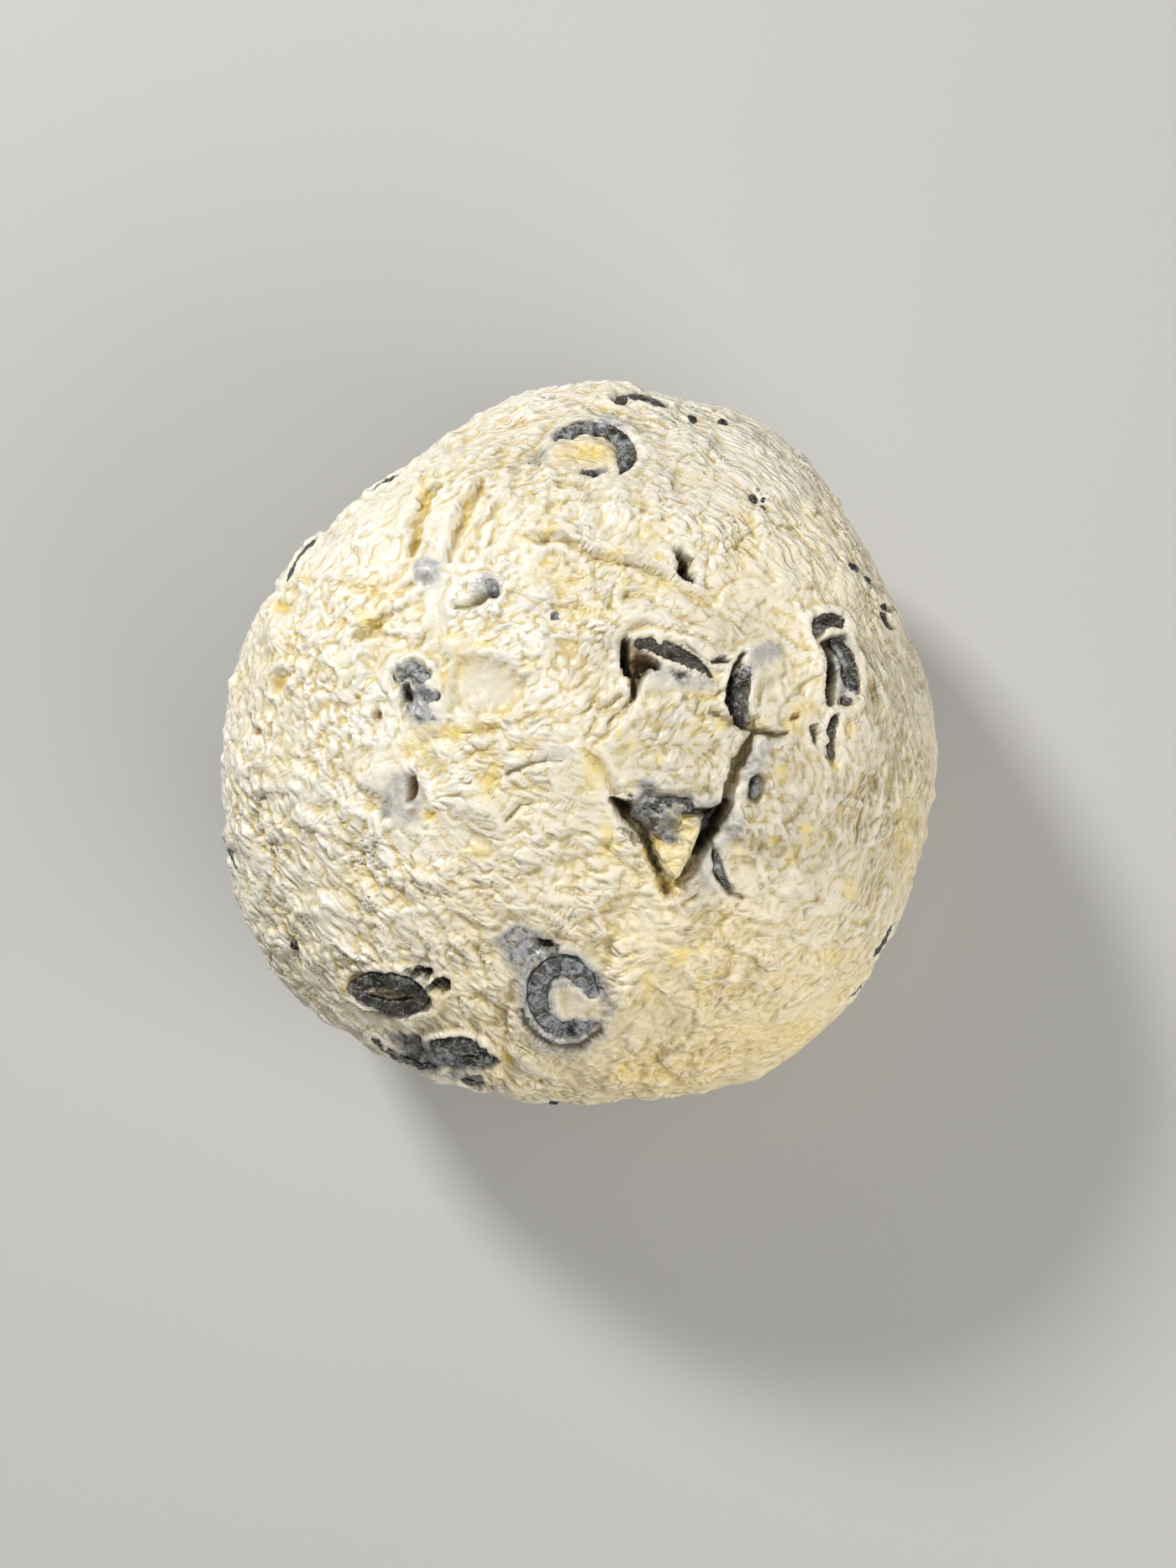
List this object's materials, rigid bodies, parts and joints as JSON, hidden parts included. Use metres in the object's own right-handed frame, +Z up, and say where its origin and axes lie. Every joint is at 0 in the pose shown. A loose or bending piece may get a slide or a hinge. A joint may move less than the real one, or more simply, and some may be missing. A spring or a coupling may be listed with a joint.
{
  "type": "cream cheese ball with olives",
  "caption": "Rounded lump of soft cream cheese, flat underneath, cracked on top, with sliced black olives pressed into its surface.",
  "frame": {"origin": "centre of the flat foot that the cheese rests on", "axes": "+Z up; seen from above, +X is the right of the picture and +Y its top"},
  "size_m": [0.1148, 0.1144, 0.0726],
  "materials": {
    "cream": "moist, lumpy, slightly shiny",
    "black_olive": "wet and wrinkled"
  },
  "bodies": {
    "root": {"cheese": "cream", "olive_ring_front": "black_olive", "olive_oval_front_left": "black_olive", "olive_ring_back": "black_olive", "olive_front_long": "black_olive", "olive_front_ring": "black_olive", "olive_front_bit": "black_olive", "olive_left": "black_olive", "olive_crown": "black_olive", "olive_right_arc": "black_olive", "olive_far_right_knob": "black_olive", "olive_far_right_arc": "black_olive", "olive_far_right_edge": "black_olive", "olive_island_tip": "black_olive", "olive_crack_edge": "black_olive", "olive_crack_wall": "black_olive", "olive_wedge": "black_olive", "olive_back_edge": "black_olive", "olive_back_left_high": "black_olive", "olive_back_left_middle": "black_olive", "olive_back_left_low": "black_olive", "olive_left_edge": "black_olive", "olive_right_front_high": "black_olive", "olive_right_front_low": "black_olive", "olive_right_bit": "black_olive", "olive_lower_1": "black_olive", "olive_lower_2": "black_olive", "olive_lower_3": "black_olive", "olive_lower_4": "black_olive", "olive_lower_5": "black_olive", "olive_lower_6": "black_olive"}
  },
  "joints": []
}
